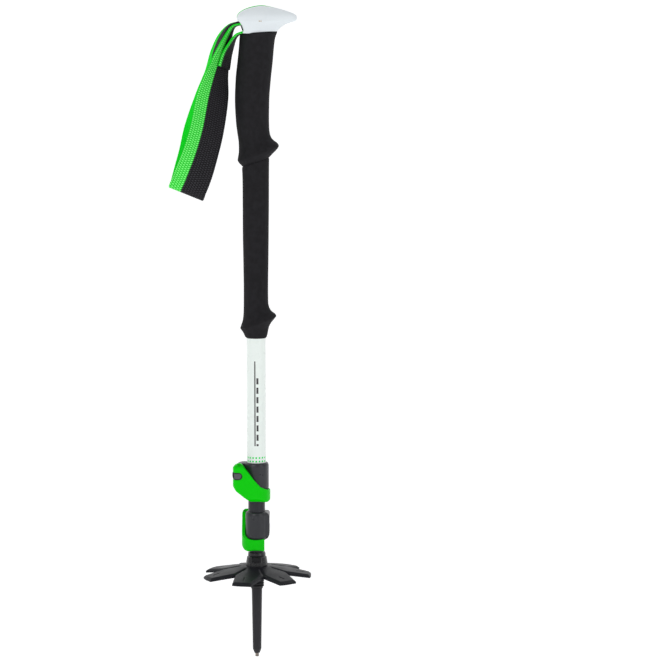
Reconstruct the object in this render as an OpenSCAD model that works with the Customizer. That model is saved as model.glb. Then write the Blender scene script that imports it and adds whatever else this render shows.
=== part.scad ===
// Collapsible three-section touring pole, folded down to its packed length.
// The origin is the tip's end, +Z runs up the shaft and +X is the side of the head's beak.

/* [Tip] */
// Radius of the metal tip pin
tip_r = 1.7; // [1.3:0.1:2.2]
// Bare length of the metal tip pin
tip_len = 3.4; // [2.5:0.1:5]
// Length of the plastic stem between the pin and the basket collar
stem_len = 63; // [50:1:80]
// Stem radius at its lower end
stem_r_low = 4.1; // [3.4:0.1:4.8]
// Stem radius at its upper end
stem_r_top = 5; // [4.6:0.1:5.6]

/* [Basket] */
// Radius of the basket to its petal tips
basket_r = 52; // [42:1:60]
// Number of petals
petals = 7; // [5:1:9]
// Thickness of the petal plate
petal_t = 3; // [2:0.5:4]
// Drop of the plate from its hub to its rim
petal_drop = 6; // [3:0.5:10]
// Wall of the basket hub round the lower tube
hub_wall = 3.7; // [3.2:0.1:6]
// Height of the hub above the plate
hub_h = 15; // [14:0.5:22]

/* [Tubes] */
// Outer radius of the upper tube
upper_r = 9; // [8.5:0.1:11]
// Wall of all three tubes
tube_wall = 0.8; // [0.6:0.05:1]
// Radial gap between the upper and the middle tube
mid_gap = 0.2; // [0.15:0.05:0.3]
// Radial gap between the middle and the lower tube
low_gap = 0.7; // [0.5:0.05:0.9]

/* [Clamps] */
// Wall of a clamp collar round its tube
collar_wall = 2.7; // [2.2:0.1:3.5]
// Height of a clamp collar
collar_h = 27.5; // [25:0.5:33]
// Radius of a clamp's ears, seen along the screw
ear_r = 11; // [10:0.5:12]
// Radius of the barrel nut that the lever turns on
nut_r = 2.9; // [2.6:0.1:3.3]
// Radius of the tension screw's shank
screw_r = 2; // [1.7:0.1:2.2]
// Radius of the lever's cam
cam_r = 6.6; // [6:0.1:6.8]
// Wrap of the upper lever's tab past the side of the shaft, in degrees
upper_wrap = 58; // [40:1:62]
// Wrap of the lower lever's tab past the front of the shaft, in degrees
lower_wrap = 44; // [30:1:62]

/* [Shaft layout] */
// Height of the lower clamp collar above the basket hub
clamp_clear = 11.5; // [11:0.5:20]
// Bare middle tube between the two clamp collars
collar_space = 20; // [18:0.5:40]
// Bare upper tube between its clamp and the foam
bare_len = 119; // [90:1:160]

/* [Grip] */
// Length of the foam extension
extension_len = 166.5; // [130:0.5:220]
// Length of the upper foam grip
grip_len = 120; // [110:0.5:150]
// Radius of the extension near its top
extension_r = 12.4; // [11.5:0.1:15]
// Radius of the upper grip at its palm
grip_r = 15.8; // [14:0.1:19]
// Tilt of both flanges and of the seam, in degrees
flange_tilt = 19; // [12:1:24]

/* [Head] */
// Width of the head
head_w = 31; // [30:0.5:37]
// Radius of the strap pin
pin_r = 2; // [1.6:0.1:2.1]
// Slope of the strap's mouth, in degrees
mouth_tilt = 20; // [16:1:24]
// Thickness of the strap wedge
wedge_t = 5.2; // [4.2:0.1:6.5]

/* [Strap] */
// Thickness of the webbing
web_t = 2; // [1.6:0.1:2.2]
// Width of the webbing at the wrist
web_w = 35; // [28:1:38]
// Width of the webbing in the head
web_in_w = 24; // [20:1:25]

/* [Hidden] */
$fn = 96;
eps = 0.01;

// Running fit between pieces that turn or slide on each other
fit_run = 0.05;
// Clearance where a piece passes another without touching
fit_free = 0.3;

// Tube radii, from the outside in
upper_bore = upper_r - tube_wall;
mid_r = upper_bore - mid_gap;
mid_bore = mid_r - tube_wall;
low_r = mid_bore - low_gap;
low_bore = low_r - tube_wall;
hub_r = low_r + hub_wall;

// Heights up the pole
cone_h = 4;
collar_z = tip_len + stem_len;
tip_collar_h = 9;
tip_collar_r = 6.9;
plate_z = collar_z + tip_collar_h + 11.6;
hub_z = plate_z - petal_t - 4;
hub_top = plate_z + hub_h;
low_tube_z = hub_top - 5;
low_clamp_z = hub_top + clamp_clear;
up_clamp_z = low_clamp_z + collar_h + collar_space;
sleeve_h = 9;
foam_z = up_clamp_z + collar_h + bare_len;
seam_z = foam_z + extension_len;
head_z = seam_z + grip_len;

// Where the tubes end inside each other
stem_in_tube = 21;
plug_cap = 7;
plug_stem = 10;
plug_space = 5;
mid_top = head_z - stem_in_tube - 2 - plug_cap;
low_top = mid_top - plug_stem - plug_space - plug_cap;

// Clamp places, from the collar's own radius
ear_front = 3.3;
ear_back = 1.5;
plate_t = 0.5;
slit = 1.2;
head_h = 3.5;
head_sunk = 0.5;
washer_t = 0.8;
screw_z = collar_h / 2 + 2.15;
ear_z = collar_h / 2 + 1.95;
slot_h = 7;
lever_t = 3.5;
cam_shift = 0.35;
slot_shift = 1;
slot_reach = 4;
cap_t = 0.8;

function collar_r(tube) = tube + collar_wall;
function pivot_x(tube) = -(collar_r(tube) + 3.9);
function pivot_y(tube) = -(ear_front + plate_t + 0.25 + cam_r + cam_shift);
function screw_head_r() = screw_r + 2.75;

// The head's mouth: the pin is its origin, and the strap leaves along -x
pin_x = 5.1;
pin_z = 11.4;
mouth_in = 18;
band_low = 2.9;
slot_half = 12.6;
wrap_up = 1.2;

// ---- Tip and basket ----

module ring(r_out, r_in, h) {
    difference() {
        cylinder(r = r_out, h = h);
        translate([0, 0, -1]) cylinder(r = r_in, h = h + 2);
    }
}

module metal_tip() {
    shank_r = tip_r - 0.3;
    color("dimgray")
    difference() {
        union() {
            cylinder(r = tip_r, h = tip_len);
            cylinder(r = shank_r, h = tip_len + 18);
        }
        translate([0, 0, -eps]) cylinder(r1 = tip_r - 0.4, r2 = 0, h = 0.9);
    }
}

module tip_holder() {
    stem_top = collar_z + tip_collar_h;
    color("#2c2c33")
    difference() {
        rotate_extrude() polygon([
            [0, tip_len], [tip_r + 0.9, tip_len], [stem_r_low, tip_len + cone_h],
            [stem_r_top, collar_z], [stem_r_top, stem_top], [low_r, stem_top + 1.5],
            [low_r, low_tube_z], [low_bore, low_tube_z],
            [low_bore, low_tube_z + 24], [low_bore - 1.5, low_tube_z + 26],
            [0, low_tube_z + 26]]);
        cylinder(r = tip_r - 0.3, h = tip_len + 18);
    }
}

// A stop with three round ridges above a short cone
module tip_collar() {
    ridges = 3;
    ridge_h = 2.4;
    root_r = tip_collar_r - 0.9;
    first = tip_collar_h - ridges * ridge_h;
    color("#2a2a2f")
    translate([0, 0, collar_z]) rotate_extrude() polygon(concat(
        [[stem_r_top, 0], [stem_r_top + 0.5, 0]],
        [for (i = [0 : ridges - 1]) for (p = [[0, 0], [0.9, 0.5], [0.9, 1.5], [0, 2]])
            [root_r + p[0], first + i * ridge_h + p[1]]],
        [[root_r, tip_collar_h], [stem_r_top, tip_collar_h]]));
}

// One petal seen from above, in shares of the radius: its sides lean one way, like a pinwheel's
module petal_outline() {
    polygon(basket_r * [
        [0, 0], [0.554, -0.244], [0.981, -0.179], [0.995, -0.09], [1, 0], [0.985, 0.177],
        [0.53, 0.29]]);
}

module basket_outline() {
    circle(r = 0.59 * basket_r);
    for (i = [0 : petals - 1])
        rotate([0, 0, -90 - 14.7 + 360 / petals * i]) petal_outline();
}

module basket() {
    top = plate_z + 1.5;
    color("#2d2e34")
    intersection() {
        rotate_extrude() polygon([
            [hub_r, plate_z - petal_t], [hub_r, top], [hub_r + 3, top],
            [basket_r + 1, plate_z - petal_drop], [basket_r + 1, plate_z - petal_drop - petal_t],
            [hub_r + 4, plate_z - petal_t]]);
        translate([0, 0, plate_z - 30]) linear_extrude(60) basket_outline();
    }
}

latch_w = 8.4;
latch_h = 5;
latch_z = plate_z + 5.5;

module basket_hub() {
    bore = low_r + fit_run;
    color("#303137")
    difference() {
        rotate_extrude() polygon([
            [bore, hub_z], [hub_r - 2, hub_z], [hub_r, hub_z + 4],
            [hub_r, plate_z + 5], [hub_r - 0.8, plate_z + 10], [hub_r - 1.5, hub_top - 4.2],
            [hub_r - 2.2, hub_top - 3.6], [hub_r - 1.7, hub_top - 3], [hub_r - 2, hub_top - 0.6],
            [hub_r - 2.6, hub_top], [bore, hub_top]]);
        translate([-latch_w / 2, -hub_r - 1, latch_z]) cube([latch_w, hub_r, latch_h]);
    }
}

// A button in the hub's window, which is pressed in to free the basket
module basket_latch() {
    gap = 0.25;
    color("#1f1f23")
    difference() {
        intersection() {
            translate([-latch_w / 2 + gap, -hub_r - 1, latch_z + gap])
                cube([latch_w - 2 * gap, hub_r, latch_h - 2 * gap]);
            ring(hub_r - 0.5, 0.1, 500);
        }
        cylinder(r = low_r + 1.4, h = 500);
    }
}

// ---- Tubes and their plugs ----

module lower_shaft() {
    color("#34353b")
    translate([0, 0, low_tube_z]) ring(low_r, low_bore, low_top - low_tube_z);
}

module plug(cap_r, stem_r, top) {
    translate([0, 0, top]) rotate_extrude() polygon([
        [0, -plug_stem], [stem_r - 0.5, -plug_stem], [stem_r, -plug_stem + 0.5], [stem_r, 0],
        [cap_r, 0], [cap_r, plug_cap - 1], [cap_r - 1, plug_cap], [0, plug_cap]]);
}

module lower_plug() {
    color("black") plug(mid_bore - fit_run, low_bore - fit_run, low_top);
}

module mid_shaft() {
    color("#3a3b41")
    translate([0, 0, low_clamp_z + sleeve_h]) ring(mid_r, mid_bore, mid_top - low_clamp_z - sleeve_h);
}

module mid_plug() {
    color("black") plug(upper_bore - fit_run, mid_bore - fit_run, mid_top);
}

module upper_shaft() {
    z0 = up_clamp_z + sleeve_h;
    color("#ebf2ee")
    translate([0, 0, z0]) ring(upper_r, upper_bore, head_z - 1 - z0);
}

// ---- Clamps: each is drawn with its ears at -X and its lever at -Y, from its collar's foot ----

// The ears from above: a flat back for the screw's head, a front face for the lever's cam
module ear_plan(r) {
    back = r + ear_back;
    far = -(r + ear_r + 1);
    polygon([
        [far, -ear_front], [0, -ear_front], [7, 0], [7, r - 3], [4.5, back], [far + 4, back],
        [far, back - 3]]);
}

// The ears from the side: the back's edges are rounded, and more so at the foot
module ear_side(back) {
    polygon([
        [-30, 0], [back - 4.5, 0], [back - 1.5, 2.2], [back, 5.4], [back, collar_h - 4],
        [back - 0.8, collar_h - 1.9], [back - 2.6, collar_h - 0.6], [-30, collar_h]]);
}

module clamp_collar(tube) {
    r = collar_r(tube);
    px = pivot_x(tube);
    back = r + ear_back;
    difference() {
        union() {
            rotate_extrude() polygon([
                [0, 0], [r - 2.6, 0], [r - 0.8, 1.4], [r, 3.6], [r, collar_h - 3],
                [r - 0.5, collar_h - 1], [r - 1.6, collar_h], [0, collar_h]]);
            intersection() {
                linear_extrude(collar_h) ear_plan(r);
                translate([0, 30, 0]) rotate([90, 0, 0]) linear_extrude(60) union() {
                    translate([-(r + 0.3), ear_z]) circle(r = ear_r);
                    polygon([
                        [-(r + 0.3), ear_z - ear_r], [-r + 1, 1.2], [3, 1.2], [7, 4.5],
                        [7, collar_h - 4], [5.5, collar_h - 1], [-r + 3, collar_h - 1],
                        [-(r + 0.3), ear_z + ear_r]]);
                }
                translate([-60, 0, 0]) rotate([90, 0, 90]) linear_extrude(120) ear_side(back);
            }
        }
        translate([0, 0, -1]) cylinder(r = tube, h = collar_h + 2);
        translate([-40, -slit / 2, -1]) cube([40, slit, collar_h + 2]);
        translate([px, back + 1, screw_z]) rotate([90, 0, 0])
            cylinder(r = screw_r + 0.2, h = back + ear_front + 2);
        translate([px, back + 1, screw_z]) rotate([90, 0, 0])
            cylinder(r = screw_head_r() + 0.6, h = 1 + head_sunk + head_h + fit_run + washer_t);
    }
}

module clamp_sleeve(tube, inner) {
    difference() {
        ring(tube, inner + fit_run, sleeve_h);
        translate([-40, -slit / 2, -1]) cube([40, slit, sleeve_h + 2]);
    }
}

module clamp_wear_plate(tube) {
    px = pivot_x(tube);
    translate([px, -ear_front, screw_z]) rotate([90, 0, 0])
        linear_extrude(plate_t) difference() {
            translate([-5.5, -8]) square([9.5, 16]);
            circle(r = screw_r + 0.3);
        }
}

module clamp_washer(tube) {
    under_head = collar_r(tube) + ear_back - head_sunk - head_h - fit_run;
    translate([pivot_x(tube), under_head, screw_z]) rotate([90, 0, 0])
        ring(screw_head_r() + 0.3, screw_r + 0.2, washer_t);
}

module clamp_barrel_nut(tube) {
    px = pivot_x(tube);
    py = pivot_y(tube);
    difference() {
        translate([px, py, 3.5]) cylinder(r = nut_r, h = collar_h - 6.5);
        translate([px, py + 20, screw_z]) rotate([90, 0, 0])
            cylinder(r = screw_r + fit_run, h = 40);
    }
}

module clamp_screw(tube) {
    px = pivot_x(tube);
    top = collar_r(tube) + ear_back - head_sunk;
    tail = -pivot_y(tube) + nut_r - 0.4;
    head_r = screw_head_r();
    difference() {
        translate([px, top, screw_z]) rotate([90, 0, 0]) rotate_extrude() polygon([
            [0, 0], [head_r - 0.8, 0], [head_r, 0.8], [head_r, head_h], [screw_r, head_h],
            [screw_r, top + tail - 0.4], [screw_r - 0.4, top + tail], [0, top + tail]]);
        for (turn = [0, 90])
            translate([px, top + 1, screw_z]) rotate([90, turn, 0])
                translate([-2.6, -0.55, 0]) cube([5.2, 1.1, 3]);
    }
}

// The lever from above: a cam round the nut, a flat front, and a band that hugs the collar
module lever_plan(tube, wrap) {
    r = collar_r(tube);
    px = pivot_x(tube);
    py = pivot_y(tube);
    front = -(r + lever_t);
    intersection() {
        translate([px, py + cam_shift]) circle(r = cam_r);
        translate([px - 20, front]) square([40, 40]);
    }
    difference() {
        union() {
            translate([-0.5, -(lever_t - 1.9)]) circle(r = r + 1.9);
            translate([px, front]) square([-px, 8]);
        }
        circle(r = r + fit_free);
        // the band stops short of the ears at one end and at its wrap at the other
        translate([px - 20, py + 1.5]) square([20 - px, 40]);
        rotate([0, 0, wrap]) square([60, 60]);
    }
}

// The lever from the front: tall at its pivot, and swept down to a low tab
module lever_face(tube) {
    r = collar_r(tube);
    left = pivot_x(tube) - 6.8;
    polygon([
        [left + 8.4, 26.8], [left + 6.2, 27.6], [left + 2.2, 26.4], [left, 24],
        [left, 6.6], [left + 3.4, 1.5], [-r, -4.4], [-r + 4.5, -7.8], [-r + 8.2, -9.7],
        [r - 1.5, -9.7], [r + 0.8, -8.5], [r + 2, -6.2], [r + 2, 1.2],
        [r - 1.6, 2.2], [r - 7.7, 5.3], [-2.4, 12.5], [-7, 18.7]]);
}

// The lever from the side: its front's upper and lower edges are rounded
module lever_side(tube) {
    front = -(collar_r(tube) + lever_t);
    polygon([
        [40, -9.8], [front + 6, -9.8], [front + 2.6, -8.6], [front + 0.6, -6.2], [front - 1, -2],
        [front - 1, 22], [front + 0.5, 24.8], [front + 2.4, 26.7], [front + 5, 27.7], [40, 27.7]]);
}

module clamp_lever(tube, wrap) {
    px = pivot_x(tube);
    py = pivot_y(tube);
    difference() {
        intersection() {
            translate([0, 0, -20]) linear_extrude(60) lever_plan(tube, wrap);
            translate([0, 30, 0]) rotate([90, 0, 0]) linear_extrude(60) lever_face(tube);
            translate([-60, 0, 0]) rotate([90, 0, 90]) linear_extrude(120) lever_side(tube);
        }
        translate([px, py, 3.4]) cylinder(r = nut_r + fit_run, h = 40);
        translate([px - slot_shift, 30, screw_z]) rotate([90, 0, 0])
            linear_extrude(60) slot_side(20, slot_h);
    }
}

// A slot seen along the screw, closed by a half round at its right end
module slot_side(reach, h) {
    circle(r = h / 2);
    translate([-reach, -h / 2]) square([reach, h]);
}

// A cap clipped into the slot, over the nut, with a raised pad
module clamp_cap(tube) {
    px = pivot_x(tube);
    back = pivot_y(tube) - nut_r - fit_free;
    for (layer = [[cap_t / 2, slot_h], [cap_t, slot_h - 1.8]])
        translate([px - slot_shift, back, screw_z]) rotate([90, 0, 0])
            linear_extrude(layer[0]) slot_side(slot_reach, layer[1]);
}

module at_upper() {
    translate([0, 0, up_clamp_z]) children();
}

module at_lower() {
    translate([0, 0, low_clamp_z]) rotate([0, 0, -90]) children();
}

module upper_collar() { color("#3c3e44") at_upper() clamp_collar(upper_r); }
module upper_sleeve() { color("black") at_upper() clamp_sleeve(upper_r, mid_r); }
module upper_wear_plate() { color("silver") at_upper() clamp_wear_plate(upper_r); }
module upper_barrel_nut() { color("#202024") at_upper() clamp_barrel_nut(upper_r); }
module upper_washer() { color("silver") at_upper() clamp_washer(upper_r); }
module upper_screw() { color("gray") at_upper() clamp_screw(upper_r); }
module upper_cap() { color("#4a4c52") at_upper() clamp_cap(upper_r); }
module upper_lever() { color("#00c800") at_upper() clamp_lever(upper_r, upper_wrap); }

module lower_collar() { color("#3c3e44") at_lower() clamp_collar(mid_r); }
module lower_sleeve() { color("black") at_lower() clamp_sleeve(mid_r, low_r); }
module lower_wear_plate() { color("silver") at_lower() clamp_wear_plate(mid_r); }
module lower_barrel_nut() { color("#202024") at_lower() clamp_barrel_nut(mid_r); }
module lower_washer() { color("silver") at_lower() clamp_washer(mid_r); }
module lower_screw() { color("gray") at_lower() clamp_screw(mid_r); }
module lower_lever() { color("#00c800") at_lower() clamp_lever(mid_r, lower_wrap); }

// ---- Foam grips ----

// A tilted flange, higher at the front (+X) than at the back
module flange(x, z, r, half) {
    translate([x, 0, z]) rotate([0, -flange_tilt, 0]) rotate_extrude() polygon([
        [0, -half], [r - 5, -half * 0.8], [r - 0.8, -1.8], [r, 0], [r - 0.8, 1.8],
        [r - 5, half * 0.8], [0, half]]);
}

module below_seam() {
    translate([0, 0, seam_z]) rotate([0, -flange_tilt, 0]) translate([-60, -60, -400]) cube([120, 120, 400]);
}

module grip_extension() {
    color("#242326")
    difference() {
        union() {
            translate([-0.3, 0, foam_z]) rotate_extrude() polygon([
                [0, 0], [extension_r - 1.9, 0], [extension_r - 1, 1.5],
                [extension_r - 1, 46], [extension_r, 130], [extension_r, extension_len + 14],
                [0, extension_len + 14]]);
            flange(2.2, foam_z + 15, extension_r + 5.5, 8);
        }
        translate([0, 0, seam_z]) rotate([0, -flange_tilt, 0]) translate([-60, -60, 0]) cube([120, 120, 60]);
        translate([0, 0, foam_z - 5]) cylinder(r = upper_r, h = extension_len + 40);
    }
}

module upper_grip() {
    // height above the seam, offset towards the beak, and radius less the palm's
    stations = [[-8, -1, -3.2], [26, -2.4, -1.2], [58, -3.6, -0.2], [80, -2, 0],
        [100, 0, -0.2], [grip_len - 9, 1.2, 0.1], [grip_len, 3, 1.6]];
    color("#242326")
    difference() {
        union() {
            for (i = [0 : len(stations) - 2])
                hull() {
                    for (s = [stations[i], stations[i + 1]])
                        translate([s[1], 0, seam_z + s[0] - 0.2])
                            cylinder(r = grip_r + s[2], h = 0.2, $fn = 32);
                }
            flange(2.4, seam_z + 9, grip_r + 4.6, 9);
        }
        below_seam();
        translate([0, 0, seam_z - 30]) cylinder(r = upper_r, h = grip_len + 60);
        at_mouth() translate([-mouth_in - 20, -slot_half, -band_low - web_t - fit_free])
            cube([mouth_in + 20, 2 * slot_half, 20]);
    }
}

// ---- Head and strap ----

module at_head() {
    translate([0, 0, head_z]) children();
}

module at_mouth() {
    at_head() translate([pin_x, 0, pin_z]) rotate([0, -mouth_tilt, 0]) children();
}

module along_y(width) {
    translate([0, width / 2, 0]) rotate([90, 0, 0]) linear_extrude(width) children();
}

crest = [[-16.8, 14.6], [-15.5, 18], [-12.7, 20.7], [-8.5, 22.8], [-4.3, 24.2], [1, 25.4],
    [6.4, 26], [12, 25.6], [17.1, 24.6]];
beak = [[29.1, 21.4], [36.9, 18.6], [39, 16.6], [39.2, 14.6], [38.1, 11.4], [35, 10.9],
    [29.1, 8.9], [24.3, 6.1], [21.3, 2.8], [18.4, 0]];
rear = [[-11.6, 0], [-10.4, 2.8], [-13.3, 8.7]];

module head_side() {
    polygon(concat(crest, beak, rear));
}

module head_plan() {
    half = head_w / 2;
    polygon([
        [-18, -half + 3.5], [-14, -half + 1], [-6, -half], [10, -half], [20, -half + 3],
        [30, -half + 7.5], [38, -half + 11], [40, -half + 13.5],
        [40, half - 13.5], [38, half - 11], [30, half - 7.5], [20, half - 3],
        [10, half], [-6, half], [-14, half - 1], [-18, half - 3.5]]);
}

module inlay_side() {
    depth = 1.2;
    upper = [for (i = [1 : len(crest) - 1]) crest[i]];
    // the first three points are on the steep rear, so they also move inwards
    lower = [for (i = [len(crest) - 1 : -1 : 1])
        crest[i] + [i <= 3 ? 0.6 * depth : 0, -depth]];
    polygon(concat(upper, lower));
}

module grip_head() {
    color("#e1e8ec")
    difference() {
        union() {
            intersection() {
                at_head() along_y(60) head_side();
                at_head() linear_extrude(40) head_plan();
            }
            at_head() translate([0, 0, -stem_in_tube]) cylinder(r = upper_bore, h = stem_in_tube + 4);
        }
        at_mouth() translate([-40, -slot_half, -band_low - web_t - 0.2])
            cube([40, 2 * slot_half, 2 * band_low + 3 * web_t + 0.8]);
        at_mouth() along_y(2 * slot_half) translate([0, wrap_up]) circle(r = band_low + web_t + 1.4);
        at_head() translate([pin_x, 0, pin_z]) along_y(60) circle(r = pin_r);
        at_head() along_y(3) inlay_side();
    }
}

module head_inlay() {
    color("#35d23a") at_head() along_y(3) inlay_side();
}

module strap_pin() {
    color("#8a7048") at_head() translate([pin_x, 0, pin_z]) along_y(head_w - 1.6) circle(r = pin_r);
}

module strap_wedge() {
    color("#3a3b40")
    at_mouth() difference() {
        translate([-mouth_in - 0.8, -slot_half + 0.4, -wedge_t / 2])
            cube([12, 2 * slot_half - 0.8, wedge_t]);
        translate([-mouth_in - 1, -6, -1]) cube([1.4, 12, 2]);
    }
}

module strap_anchor() {
    half = web_in_w / 2;
    color("#26282a")
    at_mouth() difference() {
        union() {
            translate([-mouth_in, -half, band_low]) cube([mouth_in, 2 * half, 2 * web_t + 0.4]);
            translate([-mouth_in, -half, -band_low - web_t]) cube([mouth_in, 2 * half, web_t]);
            along_y(2 * half) difference() {
                translate([0, wrap_up]) circle(r = band_low + web_t + 1.2);
                translate([0, wrap_up]) circle(r = band_low + 1.2);
                translate([-30, -30]) square([30, 60]);
            }
            along_y(2 * half) circle(r = band_low + 0.3);
        }
        along_y(60) circle(r = pin_r);
    }
}

// Webbing as a swept ribbon. Each key is [x, y, z from the head's foot, turn, lean, width less web_w]:
// turn 0 is edge-on to the front with the light edge near, and lean is from straight down.
near_up = band_low + web_t / 2;
far_up = near_up + web_t + 0.2;
function mouth_key(out, up, turn) = [
    pin_x - out * cos(mouth_tilt) - up * sin(mouth_tilt), 0,
    pin_z - out * sin(mouth_tilt) + up * cos(mouth_tilt),
    turn, 90 - mouth_tilt, web_in_w - web_w];
loop_keys = [
    mouth_key(mouth_in + 0.6, near_up, 0), mouth_key(mouth_in + 7, near_up + 0.2, 3),
    [-24.8, -1, -2.5, 12, 36, -9],
    [-29.8, -2.5, -18, 25, 22, -6], [-35.2, -5, -37, 36, 14, -2], [-39.8, -7, -60, 55, 11, 0],
    [-45.2, -9, -90, 62, 13, 0], [-52.2, -10, -115, 70, 17, 0], [-59.8, -9, -136, 88, 21, 0],
    [-64.5, -5, -146.5, 90, 22, 0], [-65.5, 0, -149.5, 90, 22, 0], [-64.5, 6, -146.5, 90, 22, 0],
    [-62, 11, -136, 95, 21, 0], [-57.6, 12, -114, 113, 16, 0], [-53.8, 12.5, -89, 126, 13, 0],
    [-48.2, 13, -60, 147, 12, 0], [-42, 10, -38, 158, 14, -2], [-37.9, 5, -18, 163, 24, -6],
    [-32.2, 2, -3.5, 166, 40, -9], [-24.5, 0.5, 7, 175, 58, -11],
    mouth_key(mouth_in + 0.6, far_up, 180)];
tail_keys = [
    mouth_key(mouth_in + 0.6, -near_up, 0), mouth_key(mouth_in + 6.8, -near_up - 0.5, 2),
    [-21.3, -1, -8, 9, 36, -13], [-26.2, -1, -19, 22, 16, -14], [-29.3, -2.5, -32, 31, 12, -15]];
ring_steps = 3;

function lerp_key(keys, t) =
    let (i = min(floor(t), len(keys) - 2), f = t - i,
        p0 = keys[max(i - 1, 0)], p1 = keys[i], p2 = keys[i + 1], p3 = keys[min(i + 2, len(keys) - 1)])
    0.5 * (2 * p1 + f * (p2 - p0) + f * f * (2 * p0 - 5 * p1 + 4 * p2 - p3)
        + f * f * f * (3 * p1 - p0 - 3 * p2 + p3));
function place(k) = [k[0], k[1], k[2]];
function unit(v) = v / norm(v);
function across(k) = [-sin(k[3]) * cos(k[4]), -cos(k[3]), sin(k[3]) * sin(k[4])];

module webbing(keys, base_w) {
    n = (len(keys) - 1) * ring_steps;
    at = [for (i = [0 : n]) lerp_key(keys, i / ring_steps)];
    points = [for (i = [0 : n])
        let (k = at[i], w = across(k), half = (base_w + k[5]) / 2,
            run = unit(place(at[min(i + 1, n)]) - place(at[max(i - 1, 0)])),
            out = unit(cross(run, w)) * web_t / 2)
        for (corner = [w * half + out, -w * half + out, -w * half - out, w * half - out])
            place(k) + corner];
    sides = [for (i = [0 : n - 1]) for (j = [0 : 3])
        let (a = 4 * i + j, b = 4 * i + (j + 1) % 4)
        for (face = [[a, b, b + 4], [a, b + 4, a + 4]]) face];
    polyhedron(points, concat(sides, [[3, 2, 1, 0], [4 * n, 4 * n + 1, 4 * n + 2, 4 * n + 3]]));
}

module strap_loop() {
    color("#2fae3a") at_head() webbing(loop_keys, web_w);
}

module strap_tail() {
    color("#2b2d2f") at_head() webbing(tail_keys, web_w);
}

metal_tip();
tip_holder();
tip_collar();
basket();
basket_hub();
basket_latch();
lower_shaft();
lower_plug();
mid_shaft();
mid_plug();
lower_collar();
lower_sleeve();
lower_wear_plate();
lower_barrel_nut();
lower_washer();
lower_screw();
lower_lever();
upper_collar();
upper_sleeve();
upper_wear_plate();
upper_barrel_nut();
upper_washer();
upper_screw();
upper_lever();
upper_cap();
upper_shaft();
grip_extension();
upper_grip();
grip_head();
head_inlay();
strap_pin();
strap_wedge();
strap_anchor();
strap_loop();
strap_tail();
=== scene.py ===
import math
import bpy
import bmesh
import numpy as np
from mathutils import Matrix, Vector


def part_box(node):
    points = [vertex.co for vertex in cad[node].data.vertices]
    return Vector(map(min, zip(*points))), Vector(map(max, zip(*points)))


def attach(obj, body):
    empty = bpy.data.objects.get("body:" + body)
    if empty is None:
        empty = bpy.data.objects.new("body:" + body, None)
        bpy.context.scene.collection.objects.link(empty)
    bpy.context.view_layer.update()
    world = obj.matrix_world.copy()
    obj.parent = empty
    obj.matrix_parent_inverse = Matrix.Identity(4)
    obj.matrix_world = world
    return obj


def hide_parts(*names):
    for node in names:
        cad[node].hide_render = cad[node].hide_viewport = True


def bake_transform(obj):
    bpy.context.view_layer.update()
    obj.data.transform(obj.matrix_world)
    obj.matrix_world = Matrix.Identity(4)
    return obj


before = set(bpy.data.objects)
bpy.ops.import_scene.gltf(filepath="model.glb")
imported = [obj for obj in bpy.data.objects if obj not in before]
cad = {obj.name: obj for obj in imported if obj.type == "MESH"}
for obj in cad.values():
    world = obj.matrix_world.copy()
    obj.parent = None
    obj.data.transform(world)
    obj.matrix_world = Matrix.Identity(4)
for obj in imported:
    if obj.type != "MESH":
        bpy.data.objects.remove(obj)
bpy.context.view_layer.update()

mm = 0.001
print("model loaded with", len(cad), "nodes")


# camera, lamps and floor

studio = {
    "cameraPlace": (0.070, -2.424, 0.577),
    "pitch": 83.83,              # degrees from straight down
    "lens": 140.35,
    "sky": 0.55,
    "floorTone": (0.86, 0.865, 0.87), "floorLevel": -0.74, "floorGlow": 0.42,
}


def aimAt(lamp, target):
    # a lamp looks down its own -z, so that axis is laid on the line to the target
    line = np.array(target) - np.array(lamp.location)
    lamp.rotation_euler = (math.acos(-line[2] / np.linalg.norm(line)), 0,
                           math.atan2(line[1], line[0]) - math.pi / 2)


def addLamp(name, place, target, width, height, power):
    data = bpy.data.lights.new(name, "AREA")
    data.shape = "RECTANGLE"
    data.size = width
    data.size_y = height
    data.energy = power
    lamp = bpy.data.objects.new(name, data)
    bpy.context.scene.collection.objects.link(lamp)
    lamp.location = place
    aimAt(lamp, target)
    return lamp


camera = bpy.data.objects.new("camera", bpy.data.cameras.new("camera"))
camera.data.lens = studio["lens"]
camera.data.sensor_width = 36
camera.data.clip_end = 50
camera.location = studio["cameraPlace"]
camera.rotation_euler = (math.radians(studio["pitch"]), 0, 0)
bpy.context.scene.collection.objects.link(camera)
bpy.context.scene.camera = camera
bpy.context.scene.view_settings.view_transform = "Standard"

world = bpy.data.worlds.new("paleRoom")
world.use_nodes = True
world.node_tree.nodes["Background"].inputs[0].default_value = (1, 1, 1, 1)
world.node_tree.nodes["Background"].inputs[1].default_value = studio["sky"]
bpy.context.scene.world = world

lamps = {
    # place, target, width and height in metres, power in watts
    "keySoft": ((-0.9, -1.5, 1.25), (0, 0, 0.35), 0.9, 1.3, 9),
    "fillSoft": ((1.3, -1.2, 0.7), (0, 0, 0.3), 0.6, 1.4, 4),
}
for name, settings in lamps.items():
    addLamp(name, *settings)


# meshes from whole arrays

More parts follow.
